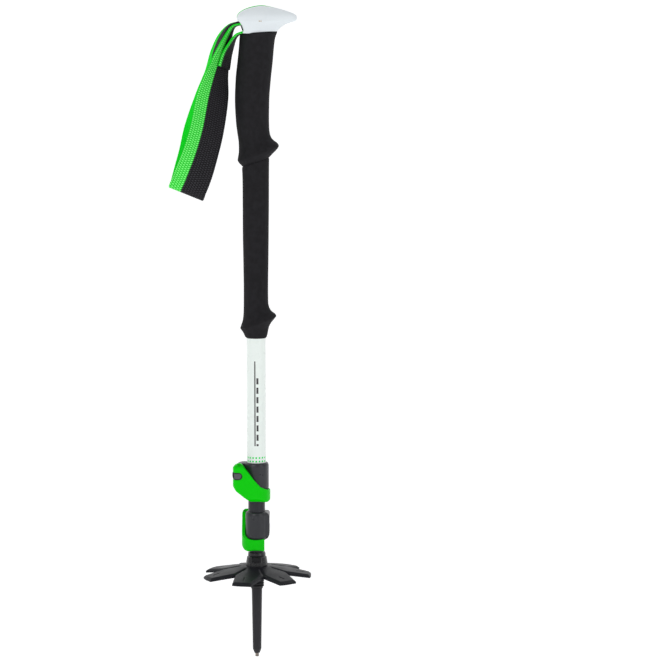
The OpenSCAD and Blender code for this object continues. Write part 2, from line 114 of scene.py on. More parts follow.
def smoothRow(at, knots, values):
    # cubic through the knots whose slope at each is the weighted mean of its neighbours' slopes
    knots, values = np.array(knots, float), np.array(values, float)
    step = np.diff(knots)
    rise = np.diff(values) / step
    slope = np.empty(len(knots))
    slope[0], slope[-1] = rise[0], rise[-1]
    product = rise[:-1] * rise[1:]
    slope[1:-1] = np.where(product > 0, 2 * product / np.where(product > 0, rise[:-1] + rise[1:], 1), 0)
    i = np.clip(np.searchsorted(knots, at) - 1, 0, len(step) - 1)
    t = np.clip((at - knots[i]) / step[i], 0, 1)
    return (values[i] * (1 + 2 * t) * (1 - t) ** 2 + slope[i] * step[i] * t * (1 - t) ** 2
            + values[i + 1] * t * t * (3 - 2 * t) + slope[i + 1] * step[i] * t * t * (t - 1))


def fade(x, low, high):
    # 0 below low, 1 above high, and 3t^2 - 2t^3 between
    t = np.clip((x - low) / (high - low), 0, 1)
    return t * t * (3 - 2 * t)


def buildMesh(name, points, faces, uv=None, bend=35):
    mesh = bpy.data.meshes.new(name)
    mesh.from_pydata(points.tolist(), [], faces)
    if uv is not None:
        flat = np.concatenate(uv)
        mesh.uv_layers.new(name="flat").data.foreach_set("uv", flat.astype(np.float32).ravel())
    work = bmesh.new()
    work.from_mesh(mesh)
    bmesh.ops.recalc_face_normals(work, faces=work.faces)
    work.to_mesh(mesh)
    work.free()
    mesh.polygons.foreach_set("use_smooth", np.ones(len(mesh.polygons), bool))
    mesh.set_sharp_from_angle(angle=math.radians(bend))
    piece = bpy.data.objects.new(name, mesh)
    bpy.context.scene.collection.objects.link(piece)
    return piece


def ringSolid(name, rings, uv=None, bend=35):
    # rings is (n, m, 3): neighbours are joined by four-sided faces, and a fan to its middle closes each end
    n, m = rings.shape[:2]
    i, j = np.meshgrid(np.arange(n - 1), np.arange(m), indexing="ij")
    nextJ = (j + 1) % m
    quads = np.stack([i * m + j, (i + 1) * m + j, (i + 1) * m + nextJ, i * m + nextJ], -1).reshape(-1, 4)
    points = np.concatenate([rings.reshape(-1, 3), rings[:1].mean(1), rings[-1:].mean(1)])
    j = np.arange(m)
    nextJ = (j + 1) % m
    foot = np.stack([np.full(m, n * m), j, nextJ], -1)
    top = np.stack([np.full(m, n * m + 1), (n - 1) * m + nextJ, (n - 1) * m + j], -1)
    faces = quads.tolist() + foot.tolist() + top.tolist()
    corners = None
    if uv is not None:
        # uv is (n, m + 1, 2), so the last column meets the first without a jump
        i, j = np.meshgrid(np.arange(n - 1), np.arange(m), indexing="ij")
        quadUv = np.stack([uv[i, j], uv[i + 1, j], uv[i + 1, j + 1], uv[i, j + 1]], -2).reshape(-1, 2)
        j = np.arange(m)
        footUv = np.stack([np.repeat(uv[0].mean(0)[None], m, 0), uv[0, j], uv[0, j + 1]], 1).reshape(-1, 2)
        topUv = np.stack([np.repeat(uv[-1].mean(0)[None], m, 0), uv[-1, j + 1], uv[-1, j]], 1).reshape(-1, 2)
        corners = [quadUv, footUv, topUv]
    return buildMesh(name, points, faces, corners, bend)


def putOn(piece, finish, body, stands=()):
    piece.data.materials.clear()
    piece.data.materials.append(finish)
    if body:
        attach(piece, body)
    if stands:
        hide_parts(*stands)


def bakeDown(piece):
    # every modifier is worked into the mesh
    graph = bpy.context.evaluated_depsgraph_get()
    mesh = bpy.data.meshes.new_from_object(piece.evaluated_get(graph))
    piece.modifiers.clear()
    piece.data = mesh
    return piece


# finishes

def startFinish(name, colour, roughness, metal=0.0, coat=0.0, coatRough=0.1, specular=0.5):
    finish = bpy.data.materials.new(name)
    finish.use_nodes = True
    tree = finish.node_tree
    shader = tree.nodes["Principled BSDF"]
    shader.inputs["Base Color"].default_value = (*colour, 1)
    shader.inputs["Roughness"].default_value = roughness
    shader.inputs["Metallic"].default_value = metal
    shader.inputs["Coat Weight"].default_value = coat
    shader.inputs["Coat Roughness"].default_value = coatRough
    shader.inputs["Specular IOR Level"].default_value = specular
    return finish, tree, shader


def feed(tree, node, values):
    for socket, value in values.items():
        if isinstance(value, bpy.types.NodeSocket):
            tree.links.new(value, node.inputs[socket])
        else:
            node.inputs[socket].default_value = value


def calc(tree, kind, a, b=None, c=None):
    node = tree.nodes.new("ShaderNodeMath")
    node.operation = kind
    feed(tree, node, {i: v for i, v in enumerate((a, b, c)) if v is not None})
    return node.outputs[0]


def mixColour(tree, factor, a, b, kind="MIX"):
    node = tree.nodes.new("ShaderNodeMix")
    node.data_type = "RGBA"
    node.blend_type = kind
    feed(tree, node, {0: factor, 6: a if not isinstance(a, tuple) else (*a, 1),
                      7: b if not isinstance(b, tuple) else (*b, 1)})
    return node.outputs[2]


def noise(tree, where, scale, detail=3.0, rough=0.55):
    node = tree.nodes.new("ShaderNodeTexNoise")
    feed(tree, node, {"Vector": where, "Scale": scale, "Detail": detail, "Roughness": rough})
    return node.outputs["Fac"]


def stretch(tree, value, low, high, toLow=0.0, toHigh=1.0):
    node = tree.nodes.new("ShaderNodeMapRange")
    node.interpolation_type = "SMOOTHSTEP"
    feed(tree, node, {"Value": value, "From Min": low, "From Max": high, "To Min": toLow, "To Max": toHigh})
    return node.outputs["Result"]


def squeeze(tree, where, scale):
    node = tree.nodes.new("ShaderNodeMapping")
    feed(tree, node, {"Vector": where, "Scale": scale})
    return node.outputs["Vector"]


def objectSpace(tree):
    return tree.nodes.new("ShaderNodeTexCoord").outputs["Object"]


def bumpUp(tree, shader, height, distance):
    node = tree.nodes.new("ShaderNodeBump")
    feed(tree, node, {"Strength": 1.0, "Distance": distance, "Height": height})
    tree.links.new(node.outputs["Normal"], shader.inputs["Normal"])


def splitXyz(tree, where):
    node = tree.nodes.new("ShaderNodeSeparateXYZ")
    feed(tree, node, {0: where})
    return node.outputs


def tint(colour, factor):
    return tuple(min(1.0, c * factor) for c in colour)


def mouldedPlastic(name, colour, roughness, grain, spread, scuff, specular=0.25):
    # colour = base x (1 +- spread by slow noise), rubbed lighter where fine noise peaks
    # height = fine grain over a slow swell
    finish, tree, shader = startFinish(name, colour, roughness, specular=specular)
    at = objectSpace(tree)
    slow = noise(tree, at, 55, 4)
    fine = noise(tree, at, 2600, 2, 0.6)
    rub = stretch(tree, noise(tree, squeeze(tree, at, (1, 1, 0.35)), 420, 5, 0.7), 0.60, 0.74)
    body = mixColour(tree, slow, tint(colour, 1 - spread), tint(colour, 1 + spread))
    pale = tuple(c + (0.35 - c) * scuff if c < 0.35 else c * 0.94 for c in colour)
    gloss = stretch(tree, slow, 0.3, 0.7, roughness - 0.05, roughness + 0.05)
    feed(tree, shader, {"Base Color": mixColour(tree, calc(tree, "MULTIPLY", rub, 0.5), body, pale),
                        "Roughness": calc(tree, "ADD", gloss, calc(tree, "MULTIPLY", rub, 0.06))})
    bumpUp(tree, shader, calc(tree, "MULTIPLY_ADD", slow, 0.6, fine), grain * mm)
    return finish


def capFinish():
    # colour = grey in front of a level plane across the slot, and black behind it: painted shade for the
    # slot's recess
    padPlane, slotShadeBlack = -14.75 * mm, (0.010, 0.010, 0.011)
    finish = mouldedPlastic("capPlastic", (0.085, 0.088, 0.098), 0.45, grain=0.020, spread=0.08, scuff=0.08)
    tree = finish.node_tree
    shader = tree.nodes["Principled BSDF"]
    grey = shader.inputs["Base Color"].links[0].from_socket
    y = splitXyz(tree, objectSpace(tree))[1]
    onPad = calc(tree, "LESS_THAN", y, padPlane)
    feed(tree, shader, {"Base Color": mixColour(tree, onPad, slotShadeBlack, grey)})
    return finish


def metalFinish(name, colour, roughness, lines, wear=0.15):
    # colour = base darkened in blotches; height = noise drawn out along the tool's path
    finish, tree, shader = startFinish(name, colour, roughness, metal=1.0)
    at = objectSpace(tree)
    blotch = noise(tree, at, 240, 5, 0.65)
    drawn = noise(tree, squeeze(tree, at, lines), 1500, 3, 0.6)
    worn = stretch(tree, blotch, 0.35, 0.7)
    feed(tree, shader, {"Base Color": mixColour(tree, worn, colour, tint(colour, 1 - wear * 2)),
                        "Roughness": stretch(tree, drawn, 0.3, 0.7, roughness - 0.08, roughness + 0.12)})
    bumpUp(tree, shader, drawn, 0.012 * mm)
    return finish


def foamFinish():
    # colour = near-black with a slow violet-grey mottle and pale specks
    # height = closed cells over a soft swell
    colour, speckGrey = (0.0122, 0.0117, 0.0135), (0.034, 0.033, 0.037)
    finish, tree, shader = startFinish("foam", colour, 0.82, specular=0.14)
    at = objectSpace(tree)
    mottle = noise(tree, at, 210, 5, 0.62)
    swell = noise(tree, at, 70, 2)
    cells = tree.nodes.new("ShaderNodeTexVoronoi")
    feed(tree, cells, {"Vector": at, "Scale": 1500})
    speck = stretch(tree, noise(tree, at, 1900, 2, 0.7), 0.66, 0.78)
    body = mixColour(tree, stretch(tree, mottle, 0.32, 0.68), tint(colour, 0.80), tint(colour, 1.35))
    feed(tree, shader, {"Base Color": mixColour(tree, calc(tree, "MULTIPLY", speck, 0.35), body, speckGrey),
                        "Roughness": stretch(tree, mottle, 0.3, 0.7, 0.74, 0.90)})
    height = calc(tree, "MULTIPLY_ADD", cells.outputs["Distance"], 0.5, calc(tree, "MULTIPLY", mottle, 0.8))
    bumpUp(tree, shader, calc(tree, "MULTIPLY_ADD", swell, 2.0, height), 0.05 * mm)
    return finish


paintedTube = {
    "radius": 9.0, "dotRows": (190.2, 193.6), "dotCount": 18, "dotSize": 0.95,
    "stripeFoot": 205, "stripeHead": 286, "white": (0.80, 0.865, 0.83),
    "green": (0.0, 0.68, 0.09), "grey": (0.055, 0.05, 0.055),
}


def tubeFinish():
    # dot = distance to the nearest of evenly turned points on two heights
    # stripe = arc from the front between two heights
    s = paintedTube
    finish, tree, shader = startFinish("whitePaint", s["white"], 0.28,
                                       coat=0.25, coatRough=0.08, specular=0.35)
    at = objectSpace(tree)
    x, y, z = splitXyz(tree, at)
    turn = calc(tree, "ARCTAN2", x, calc(tree, "MULTIPLY", y, -1))          # 0 at the front, growing to +x
    pitch = 2 * math.pi / s["dotCount"]
    offset = calc(tree, "MULTIPLY", calc(tree, "SUBTRACT", calc(tree, "FRACT", calc(
        tree, "ADD", calc(tree, "DIVIDE", turn, pitch), 0.5)), 0.5), pitch * s["radius"] * mm)
    masks = []
    for row in s["dotRows"]:
        up = calc(tree, "SUBTRACT", z, row * mm)
        far = calc(tree, "SQRT", calc(tree, "MULTIPLY_ADD", offset, offset, calc(tree, "MULTIPLY", up, up)))
        masks.append(stretch(tree, far, (s["dotSize"] + 0.06) * mm, (s["dotSize"] - 0.10) * mm))
    dots = calc(tree, "MAXIMUM", *masks)
    arc = calc(tree, "MULTIPLY", turn, s["radius"] * mm)

    def band(low, high, foot, head, soft=0.08):
        across = calc(tree, "MULTIPLY", stretch(tree, arc, (low - soft) * mm, (low + soft) * mm),
                      stretch(tree, arc, (high + soft) * mm, (high - soft) * mm))
        along = calc(tree, "MULTIPLY", stretch(tree, z, (foot - soft) * mm, (foot + soft) * mm),
                     stretch(tree, z, (head + soft) * mm, (head - soft) * mm))
        return calc(tree, "MULTIPLY", across, along)

    dash = calc(tree, "GREATER_THAN", calc(tree, "FRACT", calc(tree, "MULTIPLY", z, 1 / (9 * mm))), 0.35)
    dark = calc(tree, "MAXIMUM", band(-1.7, -0.5, s["stripeFoot"], s["stripeHead"]),
                calc(tree, "MULTIPLY", band(0.3, 2.3, s["stripeFoot"], s["stripeHead"] - 14), dash))
    slow = noise(tree, at, 60, 3)
    paint = mixColour(tree, slow, tint(s["white"], 0.985), tint(s["white"], 1.015))
    inked = mixColour(tree, dark, mixColour(tree, dots, paint, s["green"]), s["grey"])
    feed(tree, shader, {"Base Color": inked, "Roughness": stretch(tree, slow, 0.3, 0.7, 0.24, 0.33)})
    peel = noise(tree, at, 900, 2)
    bumpUp(tree, shader, calc(tree, "MULTIPLY_ADD", peel, 0.5, calc(tree, "MAXIMUM", dots, dark)), 0.015 * mm)
    return finish


scaleMarks = {"every": 5.0, "long": 10.0, "colour": (0.62, 0.63, 0.64)}


def anodisedTube(name, radius, foot, head):
    # mark = height within 0.25 mm of a whole multiple, on a narrow arc at the back
    # colour = dark dye over drawn metal
    s = scaleMarks
    colour, metalShare = (0.027, 0.028, 0.033), 0.55
    finish, tree, shader = startFinish(name, colour, 0.36, metal=metalShare,
                                       coat=0.10, coatRough=0.2, specular=0.3)
    at = objectSpace(tree)
    x, y, z = splitXyz(tree, at)
    drawn = noise(tree, squeeze(tree, at, (1, 1, 0.03)), 2600, 3, 0.6)
    slow = noise(tree, at, 45, 3)
    fromBack = calc(tree, "ARCTAN2", x, y)
    arc = calc(tree, "ABSOLUTE", calc(tree, "MULTIPLY", fromBack, radius * mm))

    def ticks(every, halfArc):
        off = calc(tree, "ABSOLUTE", calc(tree, "SUBTRACT", calc(tree, "FRACT", calc(
            tree, "ADD", calc(tree, "DIVIDE", z, every * mm), 0.5)), 0.5))
        return calc(tree, "MULTIPLY", stretch(tree, off, 0.32 / every, 0.22 / every),
                    stretch(tree, arc, (halfArc + 0.1) * mm, (halfArc - 0.1) * mm))

    mark = calc(tree, "MAXIMUM", ticks(s["every"], 1.4), ticks(s["long"], 2.6))
    inside = calc(tree, "MULTIPLY", calc(tree, "GREATER_THAN", z, foot * mm),
                  calc(tree, "LESS_THAN", z, head * mm))
    mark = calc(tree, "MULTIPLY", mark, inside)
    body = mixColour(tree, slow, tint(colour, 0.85), tint(colour, 1.2))
    feed(tree, shader, {"Base Color": mixColour(tree, mark, body, s["colour"]),
                        "Metallic": calc(tree, "MULTIPLY_ADD", mark, -metalShare, metalShare),
                        "Roughness": stretch(tree, drawn, 0.3, 0.7, 0.30, 0.46)})
    bumpUp(tree, shader, drawn, 0.008 * mm)
    return finish


webbing = {
    "thick": 2.0, "wide": 35.0, "inHead": 24.0, "greenShare": 0.352, "tailShare": 0.42,
    "rib": 2.1, "column": 2.6,
    # the first green is a painted sheen colour for the outer face; leaf is the webbing's plain green
    "sheenLime": (0.20, 1.0, 0.20), "leaf": (0.0, 0.80, 0.015), "black": (0.0125, 0.012, 0.014),
}


def webbingFinish():
    # uv x = across in metres on the outer side, 0.2 further on the inner; uv y = along in metres
    # height = half round ribs, each column half a rib out of step with the next
    # colour = green or black by the share across; the outer face's green is a painted sheen, light on the rib
    # tops over darker leaf green in the grooves, and the inner face is plain leaf green
    s = webbing
    finish, tree, shader = startFinish("webbing", s["black"], 0.75, specular=0.15)
    uv = tree.nodes.new("ShaderNodeUVMap")
    uv.uv_map = "flat"
    u, v, _ = splitXyz(tree, uv.outputs["UV"])
    share = tree.nodes.new("ShaderNodeAttribute")
    share.attribute_name = "share"                       # -1 at the dark edge, 1 at the light edge
    inner = calc(tree, "GREATER_THAN", u, 0.1)
    across = calc(tree, "SUBTRACT", u, calc(tree, "MULTIPLY", inner, 0.2))
    column = calc(tree, "DIVIDE", across, s["column"] * mm)
    odd = calc(tree, "MULTIPLY", calc(tree, "FLOOR", calc(tree, "MULTIPLY", calc(tree, "FRACT", calc(
        tree, "MULTIPLY", column, 0.5)), 2)), 0.5)
    ribPhase = calc(tree, "FRACT", calc(tree, "ADD", calc(tree, "DIVIDE", v, s["rib"] * mm), odd))
    rib = calc(tree, "SINE", calc(tree, "MULTIPLY", ribPhase, math.pi))
    groove = calc(tree, "SINE", calc(tree, "MULTIPLY", calc(tree, "FRACT", column), math.pi))
    weave = calc(tree, "MULTIPLY", rib, calc(tree, "POWER", calc(tree, "ABSOLUTE", groove), 0.35))
    ribTurn = calc(tree, "MULTIPLY", v, 2 * math.pi / (s["rib"] * mm))
    wave = calc(tree, "MULTIPLY", calc(tree, "SINE", ribTurn), 0.022)
    edge = 1 - 2 * s["greenShare"]
    green = calc(tree, "GREATER_THAN", calc(tree, "ADD", share.outputs["Fac"], wave), edge)
    soft = noise(tree, uv.outputs["UV"], 900, 3, 0.6)
    long = noise(tree, squeeze(tree, uv.outputs["UV"], (1, 0.15, 1)), 260, 3)
    # painted sheen on the outer face: grooves shaded down to dark leaf green, rib tops lit up to the sheen
    # green
    outerSheenTone = mixColour(tree, stretch(tree, weave, 0.30, 0.85), tint(s["leaf"], 0.68), s["sheenLime"])
    # inner face: plain leaf green with a little painted shade in the weave's grooves
    leafTone = mixColour(tree, weave, tint(s["leaf"], 0.85), tint(s["leaf"], 1.05))
    greenTone = mixColour(tree, inner, outerSheenTone, leafTone)
    # black with painted shade in the weave's grooves and painted highlights on the rib tops
    blackRibShadeTone = mixColour(tree, stretch(tree, weave, 0.2, 0.95),
                          tint(s["black"], 0.35), tint(s["black"], 2.8))
    tone = mixColour(tree, green, blackRibShadeTone, greenTone)
    soiled = mixColour(tree, 1.0, tone, (0.72, 0.72, 0.72), "MULTIPLY")
    tone = mixColour(tree, calc(tree, "MULTIPLY", soft, 0.25), tone, soiled)
    feed(tree, shader, {"Base Color": tone, "Roughness": stretch(tree, long, 0.3, 0.7, 0.68, 0.84)})
    bumpUp(tree, shader, calc(tree, "MULTIPLY_ADD", soft, 0.25, weave), 0.34 * mm)
    return finish


plastics = {
    # colour, roughness, grain in mm, spread, scuff, specular
    "whitePlastic": ((0.74, 0.79, 0.82), 0.42, 0.015, 0.012, 0.0, 0.25),
    "greenPlastic": ((0.0, 0.58, 0.0), 0.36, 0.012, 0.04, 0.03, 0.12),
    "inlayGreen": ((0.01, 0.64, 0.03), 0.40, 0.012, 0.04, 0.03, 0.15),
    "clampPlastic": ((0.020, 0.0215, 0.026), 0.32, 0.016, 0.10, 0.02, 0.40),
    "basketPlastic": ((0.0095, 0.0098, 0.0130), 0.42, 0.025, 0.14, 0.04, 0.14),
    "stemPlastic": ((0.017, 0.016, 0.020), 0.40, 0.025, 0.12, 0.05, 0.25),
    "blackPlastic": ((0.010, 0.010, 0.012), 0.48, 0.020, 0.10, 0.04, 0.25),
    "hubPlastic": ((0.009, 0.009, 0.011), 0.24, 0.015, 0.10, 0.03, 0.5),
}

finishes = {name: mouldedPlastic(name, *settings) for name, settings in plastics.items()}
finishes.update({
    "foam": foamFinish(),
    "capPlastic": capFinish(),
    "whitePaint": tubeFinish(),
    "midTube": anodisedTube("midTube", 8.0, 215, 540),
    "lowTube": anodisedTube("lowTube", 6.5, 190, 520),
    "steel": metalFinish("steel", (0.56, 0.56, 0.57), 0.28, lines=(1, 1, 0.1)),
    "blackMetal": metalFinish("blackMetal", (0.045, 0.045, 0.050), 0.38, lines=(1, 1, 0.1)),
    "brass": metalFinish("brass", (0.50, 0.30, 0.12), 0.35, lines=(1, 0.1, 1)),
    "tipMetal": metalFinish("tipMetal", (0.30, 0.26, 0.23), 0.42, lines=(1, 1, 0.2), wear=0.25),
    "webbing": webbingFinish(),
})

cadFinish = {
    "metal_tip": "tipMetal", "tip_holder": "stemPlastic", "tip_collar": "blackPlastic",
    "basket": "basketPlastic", "basket_hub": "hubPlastic", "basket_latch": "blackPlastic",
    "lower_shaft": "lowTube", "lower_plug": "blackPlastic",
    "mid_shaft": "midTube", "mid_plug": "blackPlastic",
    "lower_collar": "clampPlastic", "lower_sleeve": "blackPlastic", "lower_wear_plate": "steel",
    "lower_barrel_nut": "blackMetal", "lower_washer": "steel", "lower_screw": "steel",
    "lower_lever": "greenPlastic",
    "upper_collar": "clampPlastic", "upper_sleeve": "blackPlastic", "upper_wear_plate": "steel",
    "upper_barrel_nut": "blackMetal", "upper_washer": "steel", "upper_screw": "steel",
    "upper_lever": "greenPlastic",
    "upper_cap": "capPlastic", "upper_shaft": "whitePaint",
    "grip_extension": "foam", "upper_grip": "foam",
    "grip_head": "whitePlastic", "head_inlay": "inlayGreen",
    "strap_pin": "brass", "strap_wedge": "blackPlastic",
    "strap_anchor": "webbing", "strap_loop": "webbing", "strap_tail": "webbing",
}
for node, finish in cadFinish.items():
    slots = cad[node].material_slots
    if len(slots):
        for place in slots:
            place.material = finishes[finish]
    else:
        cad[node].data.materials.append(finishes[finish])
print("finishes made:", len(finishes))

# foam grips: each is a stack of ovals, sheared so that flanges and seam slope

foam = {
    # height on the axis, rear, front, slope: all in mm, slope as rise per mm towards the beak
    "lower": [
        (307.5, -8.8, 8.8, 0), (307.9, -9.5, 9.6, 0), (309.0, -10.2, 10.4, 0.05), (311.5, -10.9, 11.2, 0.16),
        (314.5, -11.6, 12.2, 0.28), (317.2, -12.5, 14.2, 0.33), (319.7, -13.9, 17.0, 0.334),
        (321.9, -14.9, 19.1, 0.334), (324.5, -14.1, 18.0, 0.334), (327.1, -13.1, 15.6, 0.334),
        (329.8, -12.4, 13.8, 0.32), (334, -11.9, 12.3, 0.27), (339, -11.7, 11.6, 0.2),
        (353, -11.6, 11.45, 0.05),
        (381, -11.9, 11.85, 0), (410, -12.3, 12.2, 0), (438, -12.35, 12.5, 0.1), (458, -12.4, 12.6, 0.28),
        (468, -12.6, 12.7, 0.344), (471.6, -12.8, 12.8, 0.344), (473.0, -12.7, 12.7, 0.344),
        (473.9, -12.2, 12.3, 0.344)],
    "upper": [
        (474.0, -12.2, 13.0, 0.344), (474.7, -12.8, 14.0, 0.344), (476.0, -13.8, 15.7, 0.344),
        (478.4, -15.5, 19.4, 0.344), (481.5, -16.9, 21.9, 0.344), (484.4, -16.5, 20.8, 0.344),
        (488.2, -15.9, 17.4, 0.344), (492, -15.7, 14.9, 0.33), (497, -15.9, 13.5, 0.29),
        (504, -17.0, 12.9, 0.2),
        (513, -18.3, 12.75, 0.1), (532, -19.25, 13.05, 0), (551, -18.55, 14.5, 0), (569.4, -16.6, 16.5, 0),
        (583, -15.2, 17.7, 0), (589, -14.8, 18.6, 0.02), (593, -14.5, 20.2, 0.06), (594.3, -14.4, 20.7, 0.07),
        (594.9, -13.9, 20.2, 0.07)],
    "sideShare": 0.96, "ringsPerMm": 1.6, "around": 112, "bore": 9.05, "boreStep": 2.5,
}


def foamGrip(name, rows, node):
    # point = (middle + half length x cos, half width x sin, height + slope x cos part)
    # the four measures run along a cubic through the rows
    rows = np.array(rows)
    count = int((rows[-1, 0] - rows[0, 0]) * foam["ringsPerMm"]) + 40
    at = np.unique(np.concatenate([np.linspace(rows[0, 0], rows[-1, 0], count), rows[:, 0]]))
    rear, front, slope = (smoothRow(at, rows[:, 0], rows[:, k])[:, None] for k in (1, 2, 3))
    turn = np.linspace(0, 2 * math.pi, foam["around"], endpoint=False)[None]
    x = (front + rear) / 2 + (front - rear) / 2 * np.cos(turn)
    y = (front - rear) / 2 * foam["sideShare"] * np.sin(turn)
    rings = np.stack([x, y, at[:, None] + slope * x], -1)
    inside = np.stack([foam["bore"] * np.cos(turn), foam["bore"] * np.sin(turn), 0 * turn], -1)
    ends = [inside + [0, 0, 1] * (at[k] + slope[k] * foam["bore"] * np.cos(turn))[..., None] for k in (0, -1)]
    deep = [end + [0, 0, step] for end, step in zip(ends, (foam["boreStep"], -foam["boreStep"]))]
    rings = np.concatenate([deep[0], ends[0], rings, ends[1], deep[1]])
    putOn(ringSolid(name, rings * mm, bend=50), finishes["foam"], "handle", [node])


foamGrip("foamExtension", foam["lower"], "grip_extension")
foamGrip("foamUpperGrip", foam["upper"], "upper_grip")
print("foam grips made")


# grip head: level slices, each blunt at the rear and drawn out to the beak at the front

head = {
    "foot": 594.0, "pin": (5.1, 11.4), "pinBore": 2.02, "boreHalf": 14.8,
    "mouthSlope": 20.0, "mouthHalf": 12.6, "mouthLow": -5.1, "mouthHigh": 7.5, "mouthRear": -40,
    # height, rear, front, half width, rear bluntness
    "rows": [
        (0.0, -11.5, 18.2, 15.0, 10), (0.5, -11.7, 18.9, 15.3, 11), (2.8, -10.9, 21.4, 15.45, 12),
        (6.1, -11.8, 24.5, 15.5, 12), (8.9, -13.4, 29.3, 15.5, 12), (10.9, -15.0, 35.4, 15.5, 12),
        (11.7, -15.8, 37.9, 15.5, 12),
        (12.5, -16.4, 38.7, 15.2, 12), (14.6, -16.8, 39.2, 14.85, 11), (16.6, -16.4, 38.8, 14.2, 9),
        (18.6, -15.1, 36.4, 13.1, 6.5), (20.7, -12.6, 31.2, 11.6, 4.6), (22.8, -8.4, 24.4, 9.2, 3.4),
        (24.2, -4.2, 18.7, 7.0, 2.7), (25.2, 0.2, 13.6, 4.6, 2.3), (25.8, 3.8, 9.4, 2.3, 2.1),
        (25.95, 5.4, 7.6, 0.9, 2)],
    "voxel": 0.34, "around": 144, "inlayHalf": 2.3,
}


def headSurface(around, count):
    # x = middle + half length x cos; y = half width x (1 - |cos|^n)^(1/n)
    # n is the row's bluntness behind and about 2 in front, where the beak tapers
    rows = np.array(head["rows"])
    share = np.linspace(0, 1, count)
    at = rows[-1, 0] * np.sin(share * math.pi / 2) ** 0.9
    rear, front, half, blunt = (smoothRow(at, rows[:, 0], rows[:, k])[:, None] for k in (1, 2, 3, 4))
    turn = np.linspace(0, 2 * math.pi, around, endpoint=False)[None]
    c, s = np.cos(turn), np.sin(turn)
    power = np.where(c < 0, blunt, 2.05)
    # the smaller exponent spreads the points round blunt corners
    reach = np.sign(c) * np.abs(c) ** (1 / (1 + 0.35 * (power - 2)))
    wide = (1 - np.clip(np.abs(reach), 0, 1) ** power) ** (1 / power)
    beak = fade(at, 2, 12)[:, None]
    taper = 1 - beak * 0.55 * np.clip(c, 0, 1) * (1 - np.clip(c, 0, 1) ** 3)
    x = (front + rear) / 2 + (front - rear) / 2 * reach
    y = half * wide * taper * np.sign(s)
    return np.stack([x, y, np.repeat(at[:, None], around, 1) + head["foot"]], -1)


def extruded(name, outline, half):
    # outline is (n, 2) in x and z, carried from -half to half along y
    outline = np.array(outline, float)
    rings = np.stack([np.stack([outline[:, 0], np.full(len(outline), y), outline[:, 1]], -1)
                      for y in (-half, half)])
    return ringSolid(name, rings * mm)


def mouthFrame(points):
    # turns points of the strap's own frame (leaving along -x) by the mouth's slope, about the pin
    slope = math.radians(head["mouthSlope"])
    points = np.array(points, float)
    x, z = points[..., 0], points[..., -1]
    turned = points.copy()
    turned[..., 0] = head["pin"][0] + x * math.cos(slope) - z * math.sin(slope)
    turned[..., -1] = head["foot"] + head["pin"][1] + x * math.sin(slope) + z * math.cos(slope)
    return turned


def cutAway(piece, cutter):
    cut = piece.modifiers.new("cut", "BOOLEAN")
    cut.object = cutter
    cut.solver = "EXACT"
    bakeDown(piece)
    bpy.data.objects.remove(cutter)


def reform(piece, voxel, rounds, bend=60):
    # remakes the skin from voxels and lets it relax, which rounds every edge by about a voxel or two
    remesh = piece.modifiers.new("remake", "REMESH")
    remesh.mode = "VOXEL"
    remesh.voxel_size = voxel * mm
    relax = piece.modifiers.new("relax", "SMOOTH")
    relax.factor = 0.5
    relax.iterations = rounds
    bakeDown(piece)
    piece.data.polygons.foreach_set("use_smooth", np.ones(len(piece.data.polygons), bool))
    piece.data.set_sharp_from_angle(angle=math.radians(bend))
    return piece


gripHead = ringSolid("gripHead", headSurface(head["around"], 90) * mm)
arc = np.linspace(-math.pi / 2, math.pi / 2, 24)
low, high = head["mouthLow"], head["mouthHigh"]
mouthRound = np.stack([(high - low) / 2 * np.cos(arc), (high + low) / 2 + (high - low) / 2 * np.sin(arc)], -1)
mouthOutline = np.concatenate([[(head["mouthRear"], low)], mouthRound, [(head["mouthRear"], high)]])
cutAway(gripHead, extruded("mouthCutter", mouthFrame(mouthOutline), head["mouthHalf"]))
ring = np.linspace(0, 2 * math.pi, 40, endpoint=False)
pinX, pinZ = head["pin"][0], head["foot"] + head["pin"][1]
pinOutline = np.stack([pinX + head["pinBore"] * np.cos(ring), pinZ + head["pinBore"] * np.sin(ring)], -1)
cutAway(gripHead, extruded("pinCutter", pinOutline, head["boreHalf"]))
reform(gripHead, head["voxel"], 5)
putOn(gripHead, finishes["whitePlastic"], "handle", ["grip_head"])

pinCap = {
    "radius": 1.6, "out": 15.72, "deep": 14.9,
    "dotRadius": 0.5, "dotOut": 15.82, "dotAside": 0.78,
}


def pinStud(name, x, radius, side, steps):
    # a ring of the given share of the radius at each distance out from the middle
    rings = np.stack([np.stack([x + radius * share * np.cos(ring), np.full(len(ring), side * y),
                                pinZ + radius * share * np.sin(ring)], -1) for y, share in steps])
    return ringSolid(name, rings * mm)


for side, place in ((-1, "Front"), (1, "Rear")):
    deep, out, dotOut = pinCap["deep"], pinCap["out"], pinCap["dotOut"]
    capSteps = [(deep, 0.9), (deep, 1), (out - 0.3, 1), (out - 0.06, 0.88), (out, 0.6)]
    dotSteps = [(deep + 0.3, 1), (dotOut - 0.05, 1), (dotOut, 0.8)]
    putOn(pinStud("pinCap" + place, pinX, pinCap["radius"], side, capSteps),
          finishes["whitePlastic"], "handle")
    for letter, aside in (("A", -pinCap["dotAside"]), ("B", pinCap["dotAside"])):
        putOn(pinStud("pinDot" + place + letter, pinX + aside, pinCap["dotRadius"], side, dotSteps),
              finishes["brass"], "handle")


inlay = {
    # crest line = rear edge from one height up, a point on top, then the front edge down to another height
    "rearFrom": 14.4, "crest": (6.4, 26.0), "frontFrom": 24.2,
    "proud": 0.55, "leastProud": 0.06, "deep": 0.7, "sag": 0.10,
}


